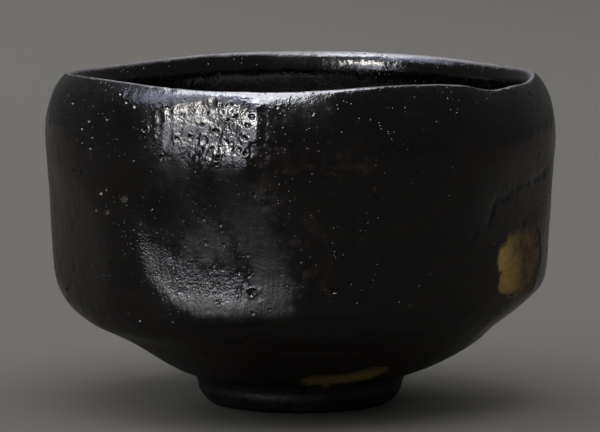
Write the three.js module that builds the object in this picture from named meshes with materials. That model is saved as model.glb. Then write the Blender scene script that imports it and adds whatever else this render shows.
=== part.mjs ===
// A hand-built raku tea bowl: a deep, round-shouldered bowl of soft clay that was pinched up, pared with a
// spatula and fired under a thick black glaze. It is one piece of clay, hollow and open at the top, on a low
// ring foot cut out of the same lump. Millimetres, +Z up, with the face of the foot at Z 0.
// Azimuths are in degrees round the bowl: 0 is the front, towards -Y, and they grow towards +X.
import * as THREE from "three";

// The outline's driving dimensions.
const BELLY_RADIUS = 59.7;
const BELLY_HEIGHT = 62.5;
const RIM_HEIGHT = 77.8;
const MOUTH_RADIUS = 53.7;
const LIP_THICKNESS = 3.4;
const WALL_THICKNESS = 4.7;
const HIP_RADIUS = 56.8;
const HIP_HEIGHT = 27.8;
const PARING_RADIUS = 48;
const PARING_HEIGHT = 18.9;
const FOOT_RADIUS = 24.3;
const FOOT_HEIGHT = 5.4;
const FOOT_FACE_OUTER = 20.8;
const FOOT_FACE_INNER = 17.8;
const RECESS_RADIUS = 14.7;
const RECESS_DEPTH = 5.2;
const FLOOR_THICKNESS = 5.8;
const FLOOR_RADIUS = 30;
const FLOOR_RISE = 4.5;
const POOL_RADIUS = 12;
const POOL_DEPTH = 1.3;
const STEPS_ROUND = 96;

// The spatula's cuts in the wall. Each is a shallow dish with rounded corners: along and across are its half
// sizes on the wall, and lean is how far it leans to the left for each millimetre of height. The last two are
// below the hip, where the underside was pared away at the left and the right.
const CUTS = [
  { azimuth: -20.5, height: 43.2, along: 22, across: 15.6, lean: 0.42, depth: 3 },
  { azimuth: -22, height: 68.5, along: 11, across: 9.2, lean: 0, depth: 1.4 },
  { azimuth: -67, height: 42, along: 18, across: 16, lean: 0.3, depth: 1.5 },
  { azimuth: 60, height: 50.5, along: 18, across: 13.5, lean: -0.4, depth: 1.6 },
  { azimuth: 124, height: 44, along: 22, across: 14.5, lean: 0.3, depth: 2 },
  { azimuth: 177, height: 47, along: 21, across: 14, lean: -0.3, depth: 2.2 },
  { azimuth: -128, height: 44, along: 23, across: 14.5, lean: -0.2, depth: 1.9 },
  { azimuth: -82, height: 14.4, along: 25, across: 7, lean: 0, depth: 3.5 },
  { azimuth: 82, height: 21.6, along: 26, across: 6.4, lean: 0, depth: 2.3 },
];
const CUT_SQUARENESS = 2.4; // 2 would make plain ellipses
const CUT_EDGE = 0.16; // how far a cut's edge is softened, as a share of its depth

// The wall was pushed in as well as pared, so the inside follows this share of each cut.
const INSIDE_SHARE = 0.6;

// The lip rises and falls in low hills. spread is half a hill's width in degrees.
const RIM_HILLS = [
  { azimuth: -56, spread: 40, rise: 1.15 },
  { azimuth: 26, spread: 34, rise: 1.3 },
  { azimuth: 54, spread: 13, rise: -1.4 },
  { azimuth: 72, spread: 20, rise: -1.1 },
  { azimuth: 122, spread: 26, rise: -0.35 },
  { azimuth: -125, spread: 40, rise: -0.8 },
  { azimuth: 178, spread: 75, rise: 0.9 },
];
const RIM_HILLS_FROM = 56;

// The hip, where the wall turns under, was pared lower at the front left. above and below are how far up and
// down the wall the dip reaches.
const HIP_DIP = { azimuth: -47, spread: 38, drop: 4, above: 19, below: 12 };

// In plan the bowl is a little wider than deep, with three slight corners.
const OVAL = 0.4;
const CORNERS = 0.15;
const CORNERS_TURN = 40;

const radians = THREE.MathUtils.degToRad;
const at = (radius, height) => new THREE.Vector2(radius, height);
const line = (from, to) => new THREE.LineCurve(from, to);

// A curve that leaves one point towards a step outwards and up from it, and arrives at the next point from a
// step beside that one.
function bend(from, leave, arrive, to) {
  return new THREE.CubicBezierCurve(from, from.clone().add(at(...leave)), to.clone().add(at(...arrive)), to);
}

// The outline in stretches, from the middle of the foot's recess, up the outside, over the lip and down to the
// middle of the floor. Each stretch has a number of steps and the share of the cuts that it follows.
function outlineStretches() {
  const floorHeight = RECESS_DEPTH + FLOOR_THICKNESS;
  const recess = at(RECESS_RADIUS, RECESS_DEPTH);
  const faceInner = at(FOOT_FACE_INNER, 0);
  const faceOuter = at(FOOT_FACE_OUTER, 0);
  const footTop = at(FOOT_RADIUS, FOOT_HEIGHT);
  const underside = footTop.clone().add(at(1.6, 1.6));
  const paring = at(PARING_RADIUS, PARING_HEIGHT);
  const hip = at(HIP_RADIUS, HIP_HEIGHT);
  const belly = at(BELLY_RADIUS, BELLY_HEIGHT);
  const lip = at(MOUTH_RADIUS + 0.4 * LIP_THICKNESS, RIM_HEIGHT - 0.5);
  const lipInner = at(MOUTH_RADIUS - 0.56 * LIP_THICKNESS, RIM_HEIGHT - 4.4);
  const innerBelly = belly.clone().sub(at(WALL_THICKNESS, 2));
  const innerHip = hip.clone().add(at(-1.1 * WALL_THICKNESS, 5.5));
  const floorEdge = at(FLOOR_RADIUS, floorHeight + FLOOR_RISE);
  const poolEdge = at(POOL_RADIUS, floorHeight + POOL_DEPTH);
  return [
    [line(at(0, RECESS_DEPTH), recess), 2, 0],
    [bend(recess, [2.2, 0], [-0.9, 0.4], faceInner), 4, 0],
    [line(faceInner, faceOuter), 1, 0],
    [bend(faceOuter, [1.8, 0], [-0.6, -3.2], footTop), 4, 0],
    [bend(footTop, [0.2, 1], [0, 0], underside), 2, 0],
    [bend(underside, [6.1, 1.5], [-7.5, -5.5], paring), 5, 1],
    [bend(paring, [3.6, 2.2], [-1.1, -4], hip), 4, 1],
    [bend(hip, [1.8, 5], [-1.4, -14.5], belly), 9, 1],
    [bend(belly, [0.1, 5.7], [3.2, -2.9], lip), 5, 1],
    [bend(lip, [-0.7, 1.1], [0.6, 4.1], lipInner), 3, 1],
    [bend(lipInner, [-0.1, -3.3], [0.2, 7.5], innerBelly), 3, INSIDE_SHARE],
    [bend(innerBelly, [-0.3, -10.5], [1.4, 10.7], innerHip), 3, INSIDE_SHARE],
    [bend(innerHip, [-0.6, -5.8], [13.5, 4.1], floorEdge), 4, INSIDE_SHARE],
    [line(floorEdge, poolEdge), 1, 0],
    [bend(poolEdge, [-3, -0.4], [6, 0], at(0, floorHeight)), 2, 0],
  ];
}

// The outline's points, and the share of the cuts that each follows.
function outline() {
  const points = [];
  const shares = [];
  for (const [curve, steps, share] of outlineStretches()) {
    const stretch = curve.getPoints(steps).slice(points.length ? 1 : 0);
    points.push(...stretch);
    shares.push(...stretch.map(() => share));
  }
  return { points, shares };
}

// The turn from one azimuth to another, between -180 and 180 degrees.
const turnTo = (from, to) => THREE.MathUtils.euclideanModulo(to - from + 180, 360) - 180;

// A smooth hill that is 1 in its middle and 0 from its edge on, at a distance given in hill half widths.
const hill = (distance) => (Math.abs(distance) < 1 ? Math.cos((distance * Math.PI) / 2) ** 2 : 0);

// How deep the cuts are at a place on the wall.
function cutDepth(azimuth, height) {
  let depth = 0;
  for (const cut of CUTS) {
    const up = height - cut.height;
    const right = radians(turnTo(cut.azimuth, azimuth)) * BELLY_RADIUS + cut.lean * up;
    const along = Math.abs(right / cut.along) ** CUT_SQUARENESS;
    const across = Math.abs(up / cut.across) ** CUT_SQUARENESS;
    const inside = 1 - along - across;
    depth += (cut.depth * (inside + Math.hypot(inside, CUT_EDGE))) / 2;
  }
  return depth;
}

// How far a place on the wall is lifted by the lip's hills and lowered where the hip dips.
function lift(azimuth, height) {
  let rise = 0;
  for (const rim of RIM_HILLS) {
    rise += rim.rise * hill(turnTo(rim.azimuth, azimuth) / rim.spread);
  }
  const above = height - HIP_HEIGHT;
  const reach = above > 0 ? HIP_DIP.above : HIP_DIP.below;
  const dip = HIP_DIP.drop * hill(turnTo(HIP_DIP.azimuth, azimuth) / HIP_DIP.spread) * hill(above / reach);
  return rise * THREE.MathUtils.smoothstep(height, RIM_HILLS_FROM, RIM_HEIGHT) - dip;
}

// How far the plan stands out from a true circle.
function outOfRound(azimuth) {
  return CORNERS * Math.cos(radians(3 * azimuth + CORNERS_TURN)) - OVAL * Math.cos(radians(2 * azimuth));
}

// The outline is spun round, and then each place on the wall is moved by the cuts, the lip's hills and the
// hand's unevenness. The foot, its recess and the pool stay round and level.
function bowlGeometry() {
  const { points, shares } = outline();
  const geometry = new THREE.LatheGeometry(points, STEPS_ROUND).rotateX(Math.PI / 2);
  const position = geometry.getAttribute("position");
  for (let i = 0; i < position.count; i++) {
    const step = Math.floor(i / points.length);
    const { x: radius, y: height } = points[i % points.length];
    const share = shares[i % points.length];
    if (share === 0) continue;
    const azimuth = (360 * step) / STEPS_ROUND;
    const moved = radius + outOfRound(azimuth) - share * cutDepth(azimuth, height);
    const sine = Math.sin(radians(azimuth));
    const cosine = Math.cos(radians(azimuth));
    position.setXYZ(i, moved * sine, -moved * cosine, height + lift(azimuth, height));
  }
  geometry.computeVertexNormals();
  return geometry;
}

const blackGlaze = new THREE.MeshStandardMaterial({ color: 0x14120f, roughness: 0.28, metalness: 0 });
blackGlaze.name = "black_raku_glaze";
const bowl = new THREE.Mesh(bowlGeometry(), blackGlaze);
bowl.name = "tea_bowl";

const group = new THREE.Group();
group.add(bowl);
export default group;
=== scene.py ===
# %% [markdown]
# # A black raku tea bowl
#
# A raku bowl isn't thrown on a wheel. It is pinched up from one lump of clay, pared with a spatula, brushed
# with many coats of black glaze and pulled out of a small kiln with tongs while the glaze still runs. What the
# eye reads as black is really all reflections: on the pared flats, on the thick rolled lip, and on thousands of
# small pits and ripples in the glaze.
#
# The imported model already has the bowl's true form. This lesson copies that form, smooths it, works the fine
# relief of the glaze into it, and gives it the finishes of the real bowl. Sizes on the bowl are written in
# millimetres, and Blender's own unit here is the metre.

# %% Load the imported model
import math
import random

import bmesh
import bpy
from mathutils import Matrix, Vector, kdtree, noise
from mathutils.bvhtree import BVHTree


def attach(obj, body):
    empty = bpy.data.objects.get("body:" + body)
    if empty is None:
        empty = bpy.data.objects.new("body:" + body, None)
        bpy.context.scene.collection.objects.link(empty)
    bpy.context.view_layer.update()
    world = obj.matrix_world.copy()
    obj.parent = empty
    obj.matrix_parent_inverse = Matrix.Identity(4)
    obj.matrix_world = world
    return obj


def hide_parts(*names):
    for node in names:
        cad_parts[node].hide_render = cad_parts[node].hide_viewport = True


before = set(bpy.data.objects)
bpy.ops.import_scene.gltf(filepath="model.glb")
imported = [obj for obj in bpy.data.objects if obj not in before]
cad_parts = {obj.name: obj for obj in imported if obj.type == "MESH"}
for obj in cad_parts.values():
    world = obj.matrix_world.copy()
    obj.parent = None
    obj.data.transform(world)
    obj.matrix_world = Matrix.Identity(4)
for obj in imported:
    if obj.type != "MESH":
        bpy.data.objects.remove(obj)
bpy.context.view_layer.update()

MM = 0.001

# %% [markdown]
# ## The camera
#
# The bowl was photographed with a long lens from about a metre away and a little above its lip, so its sides
# hardly taper and the mouth is a thin ellipse. The camera is turned round an aim point in the middle of the
# bowl. The lights below use the same helper, so each is placed by where it stands round the bowl.

# %% Point the camera at the bowl
FRAME_WIDTH = 600  # pixels of the photograph
FRAME_HEIGHT = 432
SENSOR_WIDTH = 36.0
LENS = 260.5
CAMERA_DISTANCE = 1022.9 * MM
CAMERA_TILT = 6.64
AIM = Vector((0, 0, 43.6 * MM))
scene = bpy.context.scene


def stand_round(thing, azimuth, elevation, distance):
    """Stands a camera or lamp round the aim point, facing it. Azimuth 0 is the front and 90 the right."""
    turn = math.radians(azimuth)
    climb = math.radians(elevation)
    away = Vector((math.sin(turn) * math.cos(climb), -math.cos(turn) * math.cos(climb), math.sin(climb)))
    thing.location = AIM + distance * away
    thing.rotation_euler = (-away).to_track_quat("-Z", "Y").to_euler()
    scene.collection.objects.link(thing)


camera_data = bpy.data.cameras.new("camera")
camera_data.lens = LENS
camera_data.sensor_width = SENSOR_WIDTH
camera = bpy.data.objects.new("camera", camera_data)
stand_round(camera, 0, CAMERA_TILT, CAMERA_DISTANCE)
scene.camera = camera
print("camera at", [round(value / MM) for value in camera.location], "mm")

# %% [markdown]
# ## A smooth copy of the clay
#
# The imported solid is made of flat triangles, and a glossy glaze would show each of them. A copy is merged, the
# diagonals across its four-sided patches are dissolved, and a Subdivision Surface turns it into the soft form
# that a wet hand leaves. Two smooth copies are used: a very fine one only to measure on, and a coarser one
# that becomes the bowl, with its patches made smaller just where the relief needs them.

# %% Merge the copy and dissolve its diagonals
SIDES = 96  # the solid is a turned form with this many steps round it
MERGE_DISTANCE = 0.01 * MM
AXIS_REACH = 1 * MM  # the triangles that meet on the axis have no diagonals
FOOT_LEVEL = 0.05 * MM
FOOT_FACE_WIDTH = 1 * MM  # an edge across the foot's face spans more than this
FOOT_FACE_SPLITS = 2  # extra loops that keep the foot's face flat when it is smoothed

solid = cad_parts["tea_bowl"]
cage = bmesh.new()
cage.from_mesh(solid.data)
bmesh.ops.remove_doubles(cage, verts=cage.verts, dist=MERGE_DISTANCE)


def radius_of(place):
    return math.hypot(place.x, place.y)


def azimuth_of(place):
    return math.degrees(math.atan2(place.x, -place.y))


def each_once(elements):
    """The elements once each, in their own order, because a set would give them in a new order at every run."""
    return list(dict.fromkeys(elements))


def diagonal_of(triangle):
    """The edge to the next corner from the one that stands alone on its line of azimuth."""
    lines = [round(azimuth_of(loop.vert.co) * SIDES / 360) % SIDES for loop in triangle.loops]
    alone = [loop for loop, line in zip(triangle.loops, lines) if lines.count(line) == 1]
    return alone[0].edge


off_axis = [face for face in cage.faces if min(radius_of(corner.co) for corner in face.verts) > AXIS_REACH]
bmesh.ops.dissolve_edges(cage, edges=each_once(diagonal_of(face) for face in off_axis))
across_foot = [
    edge
    for edge in cage.edges
    if all(end.co.z < FOOT_LEVEL for end in edge.verts)
    and abs(radius_of(edge.verts[0].co) - radius_of(edge.verts[1].co)) > FOOT_FACE_WIDTH
]
bmesh.ops.subdivide_edges(cage, edges=across_foot, cuts=FOOT_FACE_SPLITS, use_grid_fill=True)
print("the cage has", len(cage.faces), "patches")

# %% Smooth the cage twice, once to measure on and once to work on
MEASURE_LEVELS = 3
WORK_LEVELS = 1


def smoothed(source, levels):
    """A mesh of the cage with a Subdivision Surface applied."""
    mesh = bpy.data.meshes.new("smoothed")
    source.to_mesh(mesh)
    holder = bpy.data.objects.new("smoothed", mesh)
    scene.collection.objects.link(holder)
    surface = holder.modifiers.new("smooth", "SUBSURF")
    surface.levels = levels
    surface.render_levels = levels
    result = bpy.data.meshes.new_from_object(holder.evaluated_get(bpy.context.evaluated_depsgraph_get()))
    bpy.data.objects.remove(holder)
    return result


fine_mesh = smoothed(cage, MEASURE_LEVELS)
fine_corners = [vertex.co for vertex in fine_mesh.vertices]
fine_patches = [tuple(patch.vertices) for patch in fine_mesh.polygons]
smooth_bowl = BVHTree.FromPolygons(fine_corners, fine_patches)
clay = bmesh.new()
clay.from_mesh(smoothed(cage, WORK_LEVELS))
print("measured on", len(fine_patches), "patches and worked on", len(clay.faces))

# %% [markdown]
# ## Where the marks are
#
# The marks that the fire, the tongs and the spatula left are placed by the pixels of the photograph that show
# them. A ray from the camera through the pixel finds the place on the smooth bowl, and from there on the mark
# lies on the clay, seen from any side. Most marks are strokes: a chain of places and a reach, which is how far
# the mark spreads to each side.

# %% Find places on the bowl and spread strokes over it
STROKE_STEP = 0.8 * MM
SCOOP_MIDDLE = (220, 250)  # the pixel at the middle of the large scoop in the front


def seen_at(pixel):
    """The place on the smooth bowl that a pixel of the photograph shows."""
    right = (pixel[0] / FRAME_WIDTH - 0.5) * SENSOR_WIDTH
    up = (FRAME_HEIGHT / 2 - pixel[1]) / FRAME_WIDTH * SENSOR_WIDTH
    ray = camera.rotation_euler.to_quaternion() @ Vector((right, up, -LENS))
    return smooth_bowl.ray_cast(camera.location, ray)[0]


def stroke(pixels):
    """Places in small steps along a chain of pixels, all lying on the smooth bowl."""
    corners = [seen_at(pixel) for pixel in pixels]
    chain = [corners[0]]
    for start, end in zip(corners, corners[1:]):
        steps = math.ceil((end - start).length / STROKE_STEP)
        between = [start.lerp(end, (step + 1) / steps) for step in range(steps)]
        chain.extend(smooth_bowl.find_nearest(place)[0] for place in between)
    return chain


def mark(reach, *pixels):
    """A stroke along a chain of pixels, with its reach in millimetres."""
    return stroke(pixels), reach


def nearness(tree, chain, reach):
    """How near each vertex in a tree is to a chain of places: 1 on it, and left out beyond its reach."""
    near = {}
    for place in chain:
        for _, index, distance in tree.find_range(place, reach * MM):
            near[index] = max(near.get(index, 0), 1 - distance / (reach * MM))
    return near


print("the scoop's middle is", round(seen_at(SCOOP_MIDDLE).z / MM, 1), "mm up")

# %% The marks of the fire, the tongs and the spatula
TONG_MARKS = [
    mark(4.3, (262, 158), (300, 160), (361, 162)),
    mark(4.0, (262, 168), (268, 196)),
    mark(4.6, (298, 222), (312, 246), (320, 284)),
]
BARE_PATCHES = [  # three strokes side by side at the right, and one above the foot
    mark(3.8, (514, 245), (536, 241)),
    mark(4.6, (507, 260), (537, 258)),
    mark(4.4, (508, 280), (531, 280)),
    mark(6.6, (320, 382), (345, 381), (370, 375)),
]
GOLD_AND_LIT_EDGES = [  # where the bare clay is painted lighter: partly its own ochre, partly painted light
    mark(9.0, (501, 250), (503, 268), (508, 284)),
    mark(7.0, (316, 384), (340, 382), (366, 378)),
]
CRACK = mark(
    1.7, (545, 172), (532, 181), (519, 185), (508, 196), (497, 199), (492, 210), (490, 221), (472, 236)
)
SCOOP_BURR = mark(4.2, (131, 222), (137, 252), (149, 282), (171, 303), (205, 313), (250, 314))
SCOOP_ARC = mark(5.0, (150, 256), (170, 283), (222, 290))
SCOOP_EDGE = mark(2.6, (240, 176), (272, 216), (296, 248), (310, 300))
SCOOP_TOP = mark(6.0, (206, 166), (240, 168))
SCOOP_DULL = mark(9.0, (232, 188), (252, 225), (268, 262), (272, 296))
SCOOP_FOOT = mark(4.5, (188, 304), (236, 311), (286, 308))
SCOOP_HAZE = mark(11.0, (172, 178), (196, 206), (214, 244))
FLAT_ZONE = mark(8.5, (192, 138), (230, 132))
FLAT_EDGE = mark(1.8, (258, 104), (258, 150), (246, 176))
WRINKLES = [mark(3.4, (154, 110), (156, 156)), mark(3.4, (168, 110), (169, 154))]
HIP_LEDGE = mark(2.6, (128, 321), (200, 322), (304, 316), (420, 308))
HIP_CREASE = mark(2.2, (150, 329), (210, 329), (262, 326))
LOW_LEDGE = mark(1.8, (188, 352), (300, 353), (420, 348))
print("the crack is", round(STROKE_STEP / MM * len(CRACK[0])), "mm long")

# %% [markdown]
# ## The pits
#
# Gas leaves a boiling glaze in bubbles, and where the bowl was pulled out before they healed there are pits.
# The larger ones stand where the photograph shows them. The smaller ones are scattered with a fixed seed, so
# that they fall on the same places each time, and over the whole wall, because the back boiled as the front
# did.

# %% The pits that the photograph shows: each has a pixel and a radius in millimetres
NAMED_PITS = [
    ((252, 292), 0.8),
    ((204, 219), 0.45),
    ((221, 224), 0.45),
    ((222, 231), 0.35),
    ((224, 245), 0.42),
    ((214, 265), 0.4),
    ((248, 255), 0.38),
    ((239, 272), 0.42),
    ((249, 276), 0.38),
    ((245, 283), 0.4),
    ((206, 243), 0.38),
    ((350, 284), 0.5),
    ((333, 292), 0.7),
    ((145, 130), 0.7),
    ((161, 157), 0.5),
    ((214, 130), 0.5),
    ((218, 158), 0.6),
    ((218, 164), 0.5),
    ((236, 116), 0.5),
    ((190, 136), 0.45),
    ((228, 120), 0.45),
    ((212, 148), 0.45),
    ((73, 103), 0.6),
    ((89, 121), 0.6),
    ((82, 129), 0.5),
    ((92, 137), 0.55),
    ((82, 143), 0.5),
    ((90, 148), 0.6),
    ((107, 119), 0.5),
    ((74, 170), 0.5),
    ((82, 172), 0.5),
    ((135, 106), 0.4),
    ((127, 102), 0.4),
    ((134, 160), 0.5),
    ((152, 208), 0.5),
    ((188, 194), 0.4),
    ((238, 193), 0.4),
    ((254, 195), 0.45),
    ((262, 202), 0.4),
]
CREAM_PITS = [
    ((101, 193), 0.6),
    ((106, 190), 0.45),
    ((124, 199), 0.9),
    ((107, 212), 0.7),
    ((96, 210), 0.5),
]
print(len(NAMED_PITS) + len(CREAM_PITS), "pits are placed by the photograph")

# %% Gather all the pits: each is a place, a radius in millimetres and a depth as a share of the radius
OPEN_DEPTH = 1.0
SCATTERED_PITS = 210
PIT_RADII = (0.22, 0.42)
PIT_DEPTHS = (0.5, 1.0)
HEALED_BUBBLES = 240
BUBBLE_RADII = (0.6, 1.4)
BUBBLE_DEPTHS = (0.03, 0.08)
FLAT_CRATERS = 36
FLAT_CRATER_DEPTHS = (0.06, 0.24)
ARC_CRATERS = 22
ARC_CRATER_DEPTHS = (0.08, 0.25)
CRATER_RADII = (0.35, 0.7)
SCATTER_SEED = 11
SCATTER_LOWEST = 24 * MM

chance = random.Random(SCATTER_SEED)
outer_places = [
    vertex.co.copy()
    for vertex in fine_mesh.vertices
    if vertex.co.z > SCATTER_LOWEST and vertex.normal.xy.dot(vertex.co.xy) > 0
]


def scatter(count, around, radii, depths):
    """Hollows at chance places on the wall, all of it or within reach of a mark."""
    chosen = outer_places
    if around:
        chain, reach = around
        chosen = [place for place in outer_places if min((place - step).length for step in chain) < reach * MM]
    return [(place, chance.uniform(*radii), chance.uniform(*depths)) for place in chance.sample(chosen, count)]


cream_pits = [(seen_at(pixel), radius, OPEN_DEPTH) for pixel, radius in CREAM_PITS]
pits = [(seen_at(pixel), radius, OPEN_DEPTH) for pixel, radius in NAMED_PITS] + cream_pits
pits += scatter(SCATTERED_PITS, None, PIT_RADII, PIT_DEPTHS)
craters = scatter(HEALED_BUBBLES, None, BUBBLE_RADII, BUBBLE_DEPTHS)
craters += scatter(FLAT_CRATERS, FLAT_ZONE, CRATER_RADII, FLAT_CRATER_DEPTHS)
craters += scatter(ARC_CRATERS, SCOOP_ARC, CRATER_RADII, ARC_CRATER_DEPTHS)
print(len(pits), "open pits and", len(craters), "healed ones")

# %% [markdown]
# ## Smaller patches where the relief is fine
#
# Splitting the whole bowl finely enough for a half-millimetre pit would take millions of faces. So the outer
# wall and lip are split once, the marked places once more, and the flat above the scoop, where the glaze boiled
# most, once again. The pits are split last, and a second time where their patches are still large. After each
# split the new vertices are moved onto the smooth bowl, so that nothing is left flat between the old ones.

# %% Split the mesh in steps
WALL_LOWEST = 0.5 * MM
INSIDE_LOWEST = 66 * MM
PIT_MARGIN = 0.3
LARGEST_PATCH = (0.35 * MM) ** 2  # a pit's patches aren't split further than this


def split(chosen):
    """Splits each edge of the chosen faces in two and lays the new vertices on the smooth bowl."""
    edges = each_once(edge for face in chosen for edge in face.edges)
    bmesh.ops.subdivide_edges(clay, edges=edges, cuts=1, use_grid_fill=True)
    for vertex in clay.verts:
        vertex.co = smooth_bowl.find_nearest(vertex.co)[0]
    clay.normal_update()


def faces_near(marks):
    """The faces with a corner within reach of one of the marks."""
    tree = kdtree.KDTree(len(clay.verts))
    for index, vertex in enumerate(clay.verts):
        tree.insert(vertex.co, index)
    tree.balance()
    clay.verts.ensure_lookup_table()
    near = sorted({index for chain, reach in marks for index in nearness(tree, chain, reach)})
    return each_once(face for index in near for face in clay.verts[index].link_faces)


def is_outer(face):
    middle = face.calc_center_median()
    outside = middle.z > WALL_LOWEST and face.normal.xy.dot(middle.xy) > 0
    return outside or middle.z > INSIDE_LOWEST


split([face for face in clay.faces if is_outer(face)])
fine_marks = [*TONG_MARKS, *BARE_PATCHES, CRACK, SCOOP_BURR, SCOOP_ARC, SCOOP_EDGE]
fine_marks += [FLAT_ZONE, FLAT_EDGE, *WRINKLES]
split(faces_near(fine_marks))
split(faces_near([FLAT_ZONE]))
pit_marks = [([place], radius + PIT_MARGIN) for place, radius, _ in pits]
split(faces_near(pit_marks))
split([face for face in faces_near(pit_marks) if face.calc_area() > LARGEST_PATCH])
triangles = sum(len(face.verts) - 2 for face in clay.faces)
print("split into", len(clay.faces), "faces,", triangles, "triangles")

# %% [markdown]
# ## Masks for the finishes
#
# Each finish needs to know where it lies. A mask holds one number for each vertex, from 0 to 1, and is stored
# on the mesh as an attribute that the material reads. The edges of the masks for the tongs, the dull glaze and
# the boiled glaze are pushed in and out by noise, because fire doesn't draw straight lines. The bare clay's
# edge gets its noise in the material, where it can be finer than the mesh.

# %% Noise and the helpers for masks
SEEDS = {  # each pattern of noise has a seed of its own, so that no two rise and fall together
    "hand": 1,
    "thumb": 2,
    "mask edge": 3,
    "peel": 4,
    "curl": 5,
    "small curl": 6,
    "tongs": 7,
    "bare clay": 8,
    "wrinkle": 9,
    "crack": 10,
    "roll": 12,
    "pit": 13,
}
noise.seed_set(SCATTER_SEED)  # vector noise follows the clock until it has a seed


def ripple(place, length, pattern):
    """Smooth noise between about -1 and 1 whose hills are a given length apart, in millimetres."""
    seed = SEEDS[pattern]
    return noise.noise(place / (length * MM) + Vector((seed, 2 * seed, -seed)))


def clamp(value):
    return min(1.0, max(0.0, value))


def ease(value, low=0.0, high=1.0):
    """0 below low, 1 above high, and a smooth step between them."""
    share = clamp((value - low) / (high - low))
    return share * share * (3 - 2 * share)


clay.verts.ensure_lookup_table()
places = [vertex.co.copy() for vertex in clay.verts]
normals = [vertex.normal.copy() for vertex in clay.verts]
vertex_tree = kdtree.KDTree(len(places))
for index, place in enumerate(places):
    vertex_tree.insert(place, index)
vertex_tree.balance()
print("masks for", len(places), "vertices")

# %% Make the masks
EDGE_SWAY = 0.34
EDGE_GRAIN = 2.6
CREAM_SHARE = 0.9  # how much of its pit the cream-coloured filling takes up
HAZE_SHARE = 0.75  # how dull the haze at the scoop's upper left is, beside the dull band at its right
ARC_SHARE = 0.35


def mask_of(marks, ragged=False):
    """One number for each vertex: 1 inside the marks, falling to 0 at their reach."""
    values = [0.0] * len(places)
    for chain, reach in marks:
        for index, near in nearness(vertex_tree, chain, reach).items():
            values[index] = max(values[index], near)
    if not ragged:
        return values
    return [
        clamp(value + EDGE_SWAY * ripple(place, EDGE_GRAIN, "mask edge")) if value > 0 else 0.0
        for value, place in zip(values, places)
    ]


tong_mask = mask_of(TONG_MARKS, ragged=True)
bare_mask = mask_of(BARE_PATCHES)
gold_and_lit_mask = mask_of(GOLD_AND_LIT_EDGES)
cream_mask = mask_of([([place], radius * CREAM_SHARE) for place, radius, _ in cream_pits])
crack_mask = mask_of([CRACK])
burr_mask = mask_of([SCOOP_BURR])
arc_mask = mask_of([SCOOP_ARC], ragged=True)
edge_mask = mask_of([SCOOP_EDGE, FLAT_EDGE])
top_mask = mask_of([SCOOP_TOP])
flat_mask = mask_of([FLAT_ZONE], ragged=True)
haze_mask = mask_of([SCOOP_HAZE], ragged=True)
dull_mask = [
    max(dull, HAZE_SHARE * haze, ARC_SHARE * arc)
    for dull, haze, arc in zip(mask_of([SCOOP_DULL, SCOOP_FOOT], ragged=True), haze_mask, arc_mask)
]
wrinkle_mask = mask_of(WRINKLES)
ledge_mask = mask_of([HIP_LEDGE, LOW_LEDGE])
crease_mask = mask_of([HIP_CREASE])
print("bare clay on", sum(value > 0 for value in bare_mask), "vertices")

# %% [markdown]
# ## The relief of the clay and the glaze
#
# Each vertex is moved along its normal by a few tenths of a millimetre. The broadest part is the unevenness of
# the hand, then the orange peel of the thick glaze, which is what breaks the reflections up, and then the
# marks: the tongs pressed a rough bed, bare clay lies lower than the glaze round it, and the spatula pushed up
# a low burr where it stopped. Where the glaze boiled it froze in small curls, which are folded noise: its
# valleys are turned up into hills, and a second noise swirls them.

# %% The glaze's own relief, with lengths and heights in millimetres
HAND_LENGTH = 34
HAND_RISE = 0.2
THUMB_LENGTH = 12
THUMB_RISE = 0.06
PEEL_LENGTH = 3.6
PEEL_RISE = 0.07
CURL_LENGTH = 1.9
CURL_RISE = 0.12
CURL_WARP = 0.5
CURL_LEVEL = 0.3  # about the mean of the curls, which is taken off so that they don't swell the wall
SMALL_CURL = 0.6  # the height of the curls half as long, as a share of the others'
FLAT_MIDDLE = 67 * MM
FLAT_TOP = 72 * MM
CALM_TOP = 0.75  # the flat boiled less along its top
FLAT_FULL = 0.5  # the mask's value at which the flat is fully boiled
ARC_FULL = 0.6
ARC_BOIL = 0.4
WRINKLE_WIDTH = 1.5
WRINKLE_LENGTH = 11
WRINKLE_RISE = 0.1
WRINKLE_FULL = 0.7
FLAT_WRINKLE = 0.35


def wrinkle(place):
    """Noise drawn out up and down the wall, as glaze that ran and froze."""
    round_the_wall = math.radians(azimuth_of(place)) * radius_of(place) / (WRINKLE_WIDTH * MM)
    return noise.noise(Vector((round_the_wall, place.z / (WRINKLE_LENGTH * MM), SEEDS["wrinkle"])))


def glaze_relief(index, place):
    """How far the glaze stands out at a vertex, in millimetres."""
    rise = HAND_RISE * ripple(place, HAND_LENGTH, "hand") + THUMB_RISE * ripple(place, THUMB_LENGTH, "thumb")
    rise += PEEL_RISE * ripple(place, PEEL_LENGTH, "peel")
    calm = CALM_TOP * ease(place.z, FLAT_MIDDLE, FLAT_TOP)
    flat_boil = (1 - calm) * ease(flat_mask[index], 0.0, FLAT_FULL)
    boiled = max(flat_boil, ARC_BOIL * ease(arc_mask[index], 0.0, ARC_FULL))
    if boiled > 0:
        swirled = place + CURL_WARP * MM * noise.noise_vector(place / (CURL_LENGTH * MM))
        small_curl = SMALL_CURL * abs(ripple(swirled, CURL_LENGTH / 2, "small curl"))
        curl = abs(ripple(swirled, CURL_LENGTH, "curl")) + small_curl
        rise += boiled * CURL_RISE * (curl - CURL_LEVEL)
    wrinkled = max(wrinkle_mask[index], FLAT_WRINKLE * flat_mask[index])
    if wrinkled > 0:
        rise += WRINKLE_RISE * ease(wrinkled, 0.0, WRINKLE_FULL) * wrinkle(place)
    return rise


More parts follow.
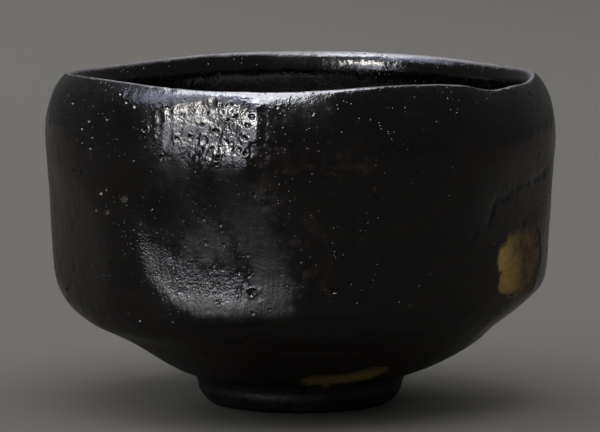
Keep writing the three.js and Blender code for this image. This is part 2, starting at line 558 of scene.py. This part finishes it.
# %% The relief of the marks, in millimetres, with the masks' values between which each edge rises
TONG_DEPTH = 0.16
TONG_ROUGH = 0.14
TONG_LENGTH = 1.7
TONG_EDGE = (0.05, 0.3)
BARE_DEPTH = 0.32
BARE_ROUGH = 0.07
BARE_LENGTH = 1.2
BARE_EDGE = (0.1, 0.3)
CRACK_DEPTH = 0.26
CRACK_SWAY = 0.6
CRACK_LENGTH = 2.5
CRACK_EDGE = (0.35, 0.95)
BURR_RISE = 0.2
EDGE_RISE = 0.12
TOP_RISE = 0.42
LEDGE_RISE = 0.3
CREASE_DEPTH = 0.4


def mark_relief(index, place):
    """How far the marks of tongs, fire and spatula stand out at a vertex, in millimetres."""
    tong = ease(tong_mask[index], *TONG_EDGE)
    bare = ease(bare_mask[index], *BARE_EDGE)
    rise = -tong * (TONG_DEPTH - TONG_ROUGH * ripple(place, TONG_LENGTH, "tongs"))
    rise -= bare * (BARE_DEPTH - BARE_ROUGH * ripple(place, BARE_LENGTH, "bare clay"))
    cracked = crack_mask[index] + CRACK_SWAY * ripple(place, CRACK_LENGTH, "crack")
    rise -= CRACK_DEPTH * ease(cracked, *CRACK_EDGE)
    rise += BURR_RISE * ease(burr_mask[index])
    rise += EDGE_RISE * ease(edge_mask[index])
    rise += TOP_RISE * ease(top_mask[index])
    rise += LEDGE_RISE * ease(ledge_mask[index]) - CREASE_DEPTH * ease(crease_mask[index])
    return rise


# %% [markdown]
# The glaze ran down and gathered in a thick roll round the foot, with a shadow line above it where the foot
# meets the underside. The roll is thicker in some places than in others, and it froze duller than the wall.

# %% The glaze roll on the foot, with heights and widths in millimetres
ROLL_HEIGHT = 3.3
ROLL_SPREAD = 1.9
ROLL_RISE = 0.4
ROLL_MEAN = 0.6  # the roll's thickness as a share of ROLL_RISE
ROLL_ONE_SIDED = 0.3  # how much that share grows towards ROLL_AZIMUTH
ROLL_UNEVEN = 0.3
ROLL_AZIMUTH = -20
ROLL_LENGTH = 11
GROOVE_HEIGHT = 6.4
GROOVE_SPREAD = 1.0
GROOVE_DEPTH = 0.2
FOOT_REACH = 28 * MM
FOOT_TOP = 8 * MM
FOOT_NECK = 5.5 * MM
FOOT_DULL = 0.5


def hill(distance):
    """A smooth hill that is 1 in its middle and 0 from its edge on, at a distance in half widths."""
    return math.cos(distance * math.pi / 2) ** 2 if abs(distance) < 1 else 0.0


def on_foot(place, normal):
    """Whether a vertex is on the outside of the foot ring or just above it."""
    return radius_of(place) < FOOT_REACH and place.z < FOOT_TOP and normal.xy.dot(place.xy) > 0


def foot_relief(place):
    """How far the foot's outside stands out, in millimetres."""
    height = place.z / MM
    thick = ROLL_MEAN + ROLL_ONE_SIDED * math.cos(math.radians(azimuth_of(place) - ROLL_AZIMUTH))
    thick += ROLL_UNEVEN * ripple(place, ROLL_LENGTH, "roll")
    roll = ROLL_RISE * thick * hill((height - ROLL_HEIGHT) / ROLL_SPREAD)
    return roll - GROOVE_DEPTH * hill((height - GROOVE_HEIGHT) / GROOVE_SPREAD)


# %% Move the vertices, and least of all near the foot's face, which stays flat
STILL_BELOW = 1.6 * MM
for index, vertex in enumerate(clay.verts):
    place = places[index]
    rise = glaze_relief(index, place) + mark_relief(index, place)
    if on_foot(place, normals[index]):
        rise += foot_relief(place)
        dull_mask[index] = max(dull_mask[index], FOOT_DULL * ease(place.z, FOOT_TOP, FOOT_NECK))
    vertex.co = place + normals[index] * rise * MM * ease(place.z, 0, STILL_BELOW)
furthest = max((vertex.co - place).length for vertex, place in zip(clay.verts, places))
print("the relief moves the clay by up to", round(furthest / MM, 2), "mm")

# %% [markdown]
# A burst bubble leaves a round-bottomed hollow with a low raised rim. No two are alike, so each pit is drawn
# out a little along a chance axis, and noise pushes its edge in and out.

# %% Press the pits in
PIT_RIM = 0.14
CRATER_RIM = 0.05
PIT_STRETCH = 0.35
PIT_WOBBLE = 0.4
PIT_GRAIN = 1.3  # the spacing of the wobble, which like the distances below is in pit radii
PIT_REACH = 2.4
PIT_FLOOR = 0.1
PIT_EDGE = 1.0
RIM_START = 0.7
RIM_CREST = 1.05
RIM_END = 1.6

for hollows, rim_share in ((pits, PIT_RIM), (craters, CRATER_RIM)):
    for place, radius, depth in hollows:
        axis = Vector([chance.gauss(0, 1) for _ in range(3)]).normalized()
        for corner, index, _ in vertex_tree.find_range(place, PIT_REACH * radius * MM):
            offset = corner - place
            far = (offset - PIT_STRETCH * offset.dot(axis) * axis).length / (radius * MM)
            far *= 1 + PIT_WOBBLE * ripple(corner, PIT_GRAIN * radius, "pit")
            hollow = depth * radius * (1 - ease(far, PIT_FLOOR, PIT_EDGE))
            rim = rim_share * radius * ease(far, RIM_START, RIM_CREST) * (1 - ease(far, RIM_CREST, RIM_END))
            clay.verts[index].co += normals[index] * (rim - hollow) * MM
print(len(pits) + len(craters), "hollows pressed in")

# %% [markdown]
# ## The finished bowl
#
# The worked mesh becomes the piece that stands for the imported solid. The masks go with it as attributes.
# The thin worn line along the lip is found from the shape itself: it is where the wall turns over. Inside the
# lip its lighter colour fades further down, and there it is a painted highlight.

# %% Make the bowl's object
LIP_LOWEST = 74 * MM
WEAR_AND_HIGHLIGHT_INSIDE = 0.3  # upward part of the normal at which wear and painted highlight start: 1 level, 0 upright
WEAR_OUTSIDE = 0.9
WEAR_FULL = 0.99
FLAT_SHARE = 0.2


def lip_wear_and_highlight(place, normal):
    """1 along the lip's crest, where hands and cloths have worn the glaze thin, and fading further down inside,
    where its lighter colour is a painted highlight.
    """
    if place.z < LIP_LOWEST:
        return 0.0
    inside = normal.xy.dot(place.xy) < 0
    return ease(normal.z, WEAR_AND_HIGHLIGHT_INSIDE if inside else WEAR_OUTSIDE, WEAR_FULL)


bowl_mesh = bpy.data.meshes.new("raku_bowl")
clay.normal_update()
clay.to_mesh(bowl_mesh)
bowl_mesh.shade_smooth()
# The lip's mask covers the worn crest and, inside the lip, a painted highlight.
wear_and_highlight_mask = [lip_wear_and_highlight(place, normal) for place, normal in zip(places, normals)]
boil_mask = [max(FLAT_SHARE * flat, arc) for flat, arc in zip(flat_mask, arc_mask)]
masks = {
    "tong_mark": tong_mask,
    "bare_clay": bare_mask,
    "golden_lit_edge": gold_and_lit_mask,
    "cream_pit": cream_mask,
    "dull_glaze": dull_mask,
    "boiled": boil_mask,
    "lip_wear_and_highlight": wear_and_highlight_mask,
}
for name, values in masks.items():
    bowl_mesh.attributes.new(name, "FLOAT", "POINT").data.foreach_set("value", values)
bowl = bpy.data.objects.new("raku_bowl", bowl_mesh)
scene.collection.objects.link(bowl)
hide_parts("tea_bowl")
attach(bowl, "root")
print("the bowl has", len(bowl_mesh.vertices), "vertices")

# %% [markdown]
# ## Helpers for materials
#
# Colours are picked as they look on a screen, so one function turns their hex values to the linear light that
# Blender counts in. A second function adds a node, sets it, fills its inputs and gives back the output that the
# next node reads, so a material reads from top to bottom as a recipe does.

# %% Colours and nodes
MIX_A = 6  # a Mix node's sockets for colours, by number, because the ones for plain numbers share their names
MIX_B = 7
MIX_RESULT = 2


def linear(hex_colour):
    """A hex colour as it looks on a screen, as linear red, green and blue by the sRGB curve, and alpha 1."""
    shares = [int(hex_colour[start : start + 2], 16) / 255 for start in (1, 3, 5)]
    light = [share / 12.92 if share <= 0.04045 else ((share + 0.055) / 1.055) ** 2.4 for share in shares]
    return (*light, 1)


def add_node(tree, kind, output, inputs, **settings):
    """Adds a node, sets its properties, gives its inputs values or links, and returns one of its outputs."""
    made = tree.nodes.new("ShaderNode" + kind)
    for name, value in settings.items():
        setattr(made, name, value)
    for name, value in inputs.items():
        if isinstance(value, bpy.types.NodeSocket):
            tree.links.new(value, made.inputs[name])
        else:
            made.inputs[name].default_value = value
    return made.outputs[output]


def per_mm(length):
    """The texture scale at which a pattern repeats about once in a length in millimetres."""
    return 1 / (length * MM)


MID_GREY = "#808080"
print(MID_GREY, "is", round(linear(MID_GREY)[0], 3), "in linear light")

# %% [markdown]
# ## Black raku glaze
#
# The glaze is a lead and iron glaze, fired for minutes only and cooled in the open air. It is a true black with
# a little brown in it, glossy but never even: it is orange-peeled, pinholed, duller where it was rubbed or
# crystallised, rust-brown and matt where the tongs held it, thin and browner down by the foot, and missing
# where bare ochre clay shows. Some of its colour is painted light: the coat down by the foot is lighter to lift
# the shaded underside, the bare clay is lighter along some edges, and the inside of the lip carries a painted
# highlight. One Principled shader does it all, because the finishes fade into each other: the masks steer its
# colour and roughness, and bump adds the grain that is too fine for the mesh.

# %% Start the glaze and read the masks
GLAZE_IOR = 1.6  # lead makes a glaze bend light a little more than window glass does
glaze = bpy.data.materials.new("black_raku_glaze")
glaze.use_nodes = True
tree = glaze.node_tree
shader = tree.nodes["Principled BSDF"]
shader.inputs["IOR"].default_value = GLAZE_IOR
position = add_node(tree, "TexCoord", "Object", {})
mask = {name: add_node(tree, "Attribute", "Fac", {}, attribute_name=name) for name in masks}
bowl_mesh.materials.append(glaze)
print("the glaze reads", len(mask), "masks")

# %% [markdown]
# The fine patterns are all noise of one kind or another. Their spacings are real sizes, from the clouds of
# brown in the black down to the grain of the clay. That grain is finer still on the real bowl, and is drawn
# this coarse so that it shows. The streaks are noise drawn out upright, as the glaze ran.

# %% Fine patterns, with their spacing in millimetres, how many finer layers each has, and how rough those are
STREAK_STRETCH = 0.14
PINHOLE_SPACING = 1.25
drawn_out = add_node(tree, "Mapping", "Vector", {"Vector": position, "Scale": (1, 1, STREAK_STRETCH)})
PATTERNS = {
    "peel": (position, 2.6, 3.0, 0.62),
    "grain": (position, 0.55, 3.0, 0.5),
    "clouds": (position, 14, 4.0, 0.5),
    "specks": (position, 1.6, 4.0, 0.5),
    "blotches": (position, 4.5, 4.0, 0.5),
    "streaks": (drawn_out, 1.3, 3.0, 0.5),
}
pattern = {}
for name, (where, spacing, layers, roughness) in PATTERNS.items():
    inputs = {"Vector": where, "Scale": per_mm(spacing), "Detail": layers, "Roughness": roughness}
    pattern[name] = add_node(tree, "TexNoise", "Fac", inputs)
holes = add_node(tree, "TexVoronoi", "Distance", {"Vector": position, "Scale": per_mm(PINHOLE_SPACING)})
height = add_node(tree, "SeparateXYZ", "Z", {"Vector": position})
print("patterns of", sorted(spacing for _, spacing, _, _ in PATTERNS.values()), "mm")

# %% Stretch the patterns so that each runs from 0 to 1 between two of its values
THIN_FROM = 27 * MM  # thinner and browner from here down, and painted lighter to light the shaded underside
THIN_FULL = 10 * MM
LIMITS = {
    "pinholes": (holes, 0.03, 0.2),
    "cloudy": (pattern["clouds"], 0.4, 0.7),
    "speckled": (pattern["specks"], 0.42, 0.62),
    "flecked": (pattern["grain"], 0.56, 0.7),
    "blotched": (pattern["blotches"], 0.4, 0.62),
    "low_down": (height, THIN_FROM, THIN_FULL),
}
stretched = {}
for name, (value, low, high) in LIMITS.items():
    inputs = {"Value": value, "From Min": low, "From Max": high}
    stretched[name] = add_node(tree, "MapRange", "Result", inputs, interpolation_type="SMOOTHSTEP")
print("stretched:", ", ".join(stretched))

# %% [markdown]
# A mask from the mesh fades softly, but tongs and fire leave crisp and ragged edges. So noise is added to the
# mask, and a narrower step is then taken out of the sum.

# %% Sharpen the masks
SHARPENING = {  # where the step starts and ends, and how far the noise pushes it
    "tong_mark": (0.04, 0.5, 0.5),
    "bare_clay": (0.1, 0.45, 0.9),
    "golden_lit_edge": (0.0, 1.1, 0.8),
    "dull_glaze": (0.0, 0.9, 0.6),
    "lip_wear_and_highlight": (0.2, 0.8, 0.7),
}
sharp = {}
for name, (low, high, sway) in SHARPENING.items():
    inputs = {0: pattern["specks"], 1: sway, 2: mask[name]}
    swayed = add_node(tree, "Math", 0, inputs, operation="MULTIPLY_ADD")
    inputs = {"Value": swayed, "From Min": low + sway / 2, "From Max": high + sway / 2}
    sharp[name] = add_node(tree, "MapRange", "Result", inputs, interpolation_type="SMOOTHSTEP")
print("sharpened:", ", ".join(sharp))

# %% [markdown]
# The colour is built up much as the bowl was: black glaze with brown clouds in it, flecks of iron, the thin
# brown coat near the foot, and then what the fire and use did to it. Each coat lies over the ones before it.
# Three of
# them are partly painted light: the coat near the foot is lighter to lift the shaded underside, the bare clay is
# lighter along some edges, and the lip's worn line fades down inside as a painted highlight.

# %% Colour
GLAZE_BLACK = linear("#060505")
GLAZE_BROWN = linear("#110d0a")
TONG_DARK = linear("#020101")
TONG_RUST = linear("#33221b")
CLAY_OCHRE_LIT = linear("#ab8f48")
CLAY_UMBER = linear("#5f5030")
CLAY_SCORCHED = linear("#33220f")
IRON_FLECK = linear("#241d18")
# The thin coat's lighter colour near the foot is partly painted light that lifts the shaded underside.
GLAZE_THIN_AND_PAINTED_LIGHT = linear("#241c16")
CREAM = linear("#d8c6a0")
# The worn lip's lighter colour is real wear along the crest and a painted highlight further down inside the lip.
LIP_WORN_AND_HIGHLIGHT = linear("#4a4040")
RUST_SPECKS = 0.6  # how much of the rust's strength comes and goes with the specks
RUST_LEAST = 0.4

inputs = {0: stretched["speckled"], 1: RUST_SPECKS, 2: RUST_LEAST}
rust_strength = add_node(tree, "Math", 0, inputs, operation="MULTIPLY_ADD")
rusty = add_node(tree, "Math", 0, {0: rust_strength, 1: stretched["blotched"]}, operation="MULTIPLY")
inputs = {"Factor": rusty, MIX_A: TONG_DARK, MIX_B: TONG_RUST}
tong_colour = add_node(tree, "Mix", MIX_RESULT, inputs, data_type="RGBA")
inputs = {"Factor": rusty, MIX_A: CLAY_UMBER, MIX_B: CLAY_SCORCHED}
scorched = add_node(tree, "Mix", MIX_RESULT, inputs, data_type="RGBA")
# The ochre along the bare clay's edges is partly the clay's own colour and partly painted light.
inputs = {"Factor": sharp["golden_lit_edge"], MIX_A: scorched, MIX_B: CLAY_OCHRE_LIT}
bare_colour = add_node(tree, "Mix", MIX_RESULT, inputs, data_type="RGBA")
coats = [
    (stretched["cloudy"], GLAZE_BROWN),
    (stretched["flecked"], IRON_FLECK),
    (stretched["low_down"], GLAZE_THIN_AND_PAINTED_LIGHT),
    (sharp["tong_mark"], tong_colour),
    (sharp["bare_clay"], bare_colour),
    (sharp["lip_wear_and_highlight"], LIP_WORN_AND_HIGHLIGHT),
    (mask["cream_pit"], CREAM),
]
colour = GLAZE_BLACK
for amount, coat in coats:
    inputs = {"Factor": amount, MIX_A: colour, MIX_B: coat}
    colour = add_node(tree, "Mix", MIX_RESULT, inputs, data_type="RGBA")
tree.links.new(colour, shader.inputs["Base Color"])
print(len(coats), "coats over the black")

# %% [markdown]
# Gloss is what makes the glaze read as glass. The black is nearly mirror-smooth, the clouds in it a little less
# so, and each of the finishes adds its own share of roughness.

# %% Roughness
ROUGH_GLOSS = 0.12
ROUGH_CLOUD = 0.12
ROUGH_DULL = 0.34
ROUGH_TONG = 0.05
ROUGH_BARE = 0.6
ROUGH_WORN = 0.34
ROUGH_THIN = 0.15
ROUGH_MOST = 1.0
rough_shares = [
    (stretched["cloudy"], ROUGH_CLOUD),
    (sharp["dull_glaze"], ROUGH_DULL),
    (sharp["tong_mark"], ROUGH_TONG),
    (sharp["bare_clay"], ROUGH_BARE),
    (sharp["lip_wear_and_highlight"], ROUGH_WORN),
    (stretched["low_down"], ROUGH_THIN),
]
rough = ROUGH_GLOSS
for amount, share in rough_shares:
    rough = add_node(tree, "Math", 0, {0: amount, 1: share, 2: rough}, operation="MULTIPLY_ADD")
rough = add_node(tree, "Math", 0, {0: rough, 1: ROUGH_MOST}, operation="MINIMUM")
tree.links.new(rough, shader.inputs["Roughness"])
print("roughness from", ROUGH_GLOSS, "up to", ROUGH_MOST)

# %% [markdown]
# Bump only tilts the light, so it is kept for what is too fine for the mesh. Each bump lies over the one before
# it: the orange peel, the pinholes, the streaks, the grain, and the roughness of what the tongs and the fire
# laid bare.

# %% Bump
PEEL_BUMP = 0.16 * MM
PINHOLE_BUMP = 0.19 * MM
STREAK_BUMP = 0.05 * MM
STREAK_DULL = 0.2 * MM  # the streaks are deeper where the glaze is dull
GRAIN_BUMP = 0.045 * MM
BOIL_BUMP = 0.16 * MM
BARE_BUMP = 0.14 * MM
FULL = 1.0
PINHOLE_STRONG = 0.8  # how much of the pinholes' strength comes and goes with the blotches
PINHOLE_LEAST = 0.2
inputs = {0: stretched["blotched"], 1: PINHOLE_STRONG, 2: PINHOLE_LEAST}
pinholed = add_node(tree, "Math", 0, inputs, operation="MULTIPLY_ADD")
inputs = {0: sharp["tong_mark"], 1: sharp["bare_clay"]}
laid_bare = add_node(tree, "Math", 0, inputs, operation="MAXIMUM")
bumps = [
    (pattern["peel"], PEEL_BUMP, FULL),
    (stretched["pinholes"], PINHOLE_BUMP, pinholed),
    (pattern["streaks"], STREAK_BUMP, FULL),
    (pattern["streaks"], STREAK_DULL, sharp["dull_glaze"]),
    (pattern["grain"], GRAIN_BUMP, FULL),
    (pattern["grain"], BOIL_BUMP, mask["boiled"]),
    (pattern["specks"], BARE_BUMP, laid_bare),
]
below = {}
for relief, depth, strength in bumps:
    inputs = {"Height": relief, "Distance": depth, "Strength": strength, **below}
    below = {"Normal": add_node(tree, "Bump", "Normal", inputs)}
tree.links.new(below["Normal"], shader.inputs["Normal"])
print("the glaze has", len(tree.nodes), "nodes")

# %% [markdown]
# ## The floor
#
# The bowl stands on a plain pale grey floor that fills the picture. A glossy black thing shows what is round it
# rather than itself, and a pale floor would turn its lower half grey. So a darker cloth lies on the floor that
# only reflections can see: the floor in the picture stays pale, and the glaze stays black.

# %% Lay the floor
FLOOR_HALF = 6.0
FLOOR_GREY = linear("#85837f")
PAPER_ROUGHNESS = 0.8
PAPER_SHINE = 0.0
floor_mesh = bpy.data.meshes.new("floor")
ground = bmesh.new()
bmesh.ops.create_grid(ground, x_segments=1, y_segments=1, size=FLOOR_HALF)
ground.to_mesh(floor_mesh)
floor = bpy.data.objects.new("floor", floor_mesh)
scene.collection.objects.link(floor)
paper = bpy.data.materials.new("grey_paper")
paper.use_nodes = True
paper_shader = paper.node_tree.nodes["Principled BSDF"]
paper_shader.inputs["Base Color"].default_value = FLOOR_GREY
paper_shader.inputs["Roughness"].default_value = PAPER_ROUGHNESS
paper_shader.inputs["Specular IOR Level"].default_value = PAPER_SHINE
floor_mesh.materials.append(paper)
print("the floor is", 2 * FLOOR_HALF, "m across")

# %% Lay the dark cloth
CLOTH_GREY = linear("#696764")
CLOTH_HEIGHT = 0.3 * MM
cloth = bpy.data.objects.new("dark_cloth", floor_mesh.copy())
cloth.data.transform(Matrix.Translation((0, 0, CLOTH_HEIGHT)))
scene.collection.objects.link(cloth)
cloth.visible_camera = False
cloth.visible_diffuse = False
cloth.visible_shadow = False
velvet = paper.copy()
velvet.name = "velvet"
velvet.node_tree.nodes["Principled BSDF"].inputs["Base Color"].default_value = CLOTH_GREY
cloth.data.materials.clear()
cloth.data.materials.append(velvet)
print("the cloth lies", CLOTH_HEIGHT / MM, "mm above the floor")

# %% [markdown]
# ## The light
#
# The lamps are big soft panels of two kinds. The first kind shows only as reflections in the glaze: three
# strips of a window at the front left make the bright flats on the shoulder and in the scoop, and a broad sky
# beside them, two panels overhead and a window behind draw the left side, the lip and the inside. The second
# kind doesn't show in reflections. It lights the floor and the bare clay, and makes the soft shadow.

# %% Hang the lamps
WORLD_GREY = linear("#505050")
# Each lamp has an azimuth and an elevation in degrees, then its distance, width and height in metres, its
# brightness as a mirror would show it, and its colour.
MIRRORED_LAMPS = {
    "window": (-37, 28, 1.5, 0.36, 0.22, 40, "#fffbf5"),
    "window_middle": (-38.5, 17.5, 1.5, 0.44, 0.3, 2.8, "#dfe3ff"),
    "window_below": (-38, 8, 1.5, 0.34, 0.18, 8, "#f0f2ff"),
    "sky": (-72, 52, 1.5, 1.0, 0.7, 3.6, "#dbe1ff"),
    "ceiling": (-115, 79, 1.3, 1.2, 0.8, 12, "#f4f6ff"),
    "back_window": (180, 44, 1.6, 1.4, 0.9, 1.2, "#f0f1ff"),
    "ceiling_front": (-40, 66, 1.35, 0.6, 0.34, 10, "#f4f6ff"),
}
UNMIRRORED_LAMPS = {
    "daylight": (-60, 62, 2.2, 3.2, 3.0, 0.88, "#ffffff"),
    "fill": (100, 62, 2.4, 3.0, 3.0, 0.8, "#ffffff"),
    "backdrop": (-140, 24, 2.3, 1.6, 0.8, 3.4, "#ffffff"),
}


def panel(name, azimuth, elevation, distance, width, height, brightness, colour):
    """A soft panel of light, turned to the bowl."""
    data = bpy.data.lights.new(name, "AREA")
    data.shape = "RECTANGLE"
    data.size = width
    data.size_y = height
    data.energy = brightness * math.pi * width * height
    data.color = linear(colour)[:3]
    lamp = bpy.data.objects.new(name, data)
    stand_round(lamp, azimuth, elevation, distance)
    return lamp


for name, values in MIRRORED_LAMPS.items():
    panel(name, *values).visible_diffuse = False
for name, values in UNMIRRORED_LAMPS.items():
    panel(name, *values).visible_glossy = False
world = bpy.data.worlds.new("studio")
world.use_nodes = True
world.node_tree.nodes["Background"].inputs["Color"].default_value = WORLD_GREY
scene.world = world
scene.view_settings.view_transform = "Standard"
print(len(MIRRORED_LAMPS), "lamps to be mirrored and", len(UNMIRRORED_LAMPS), "to light the floor")
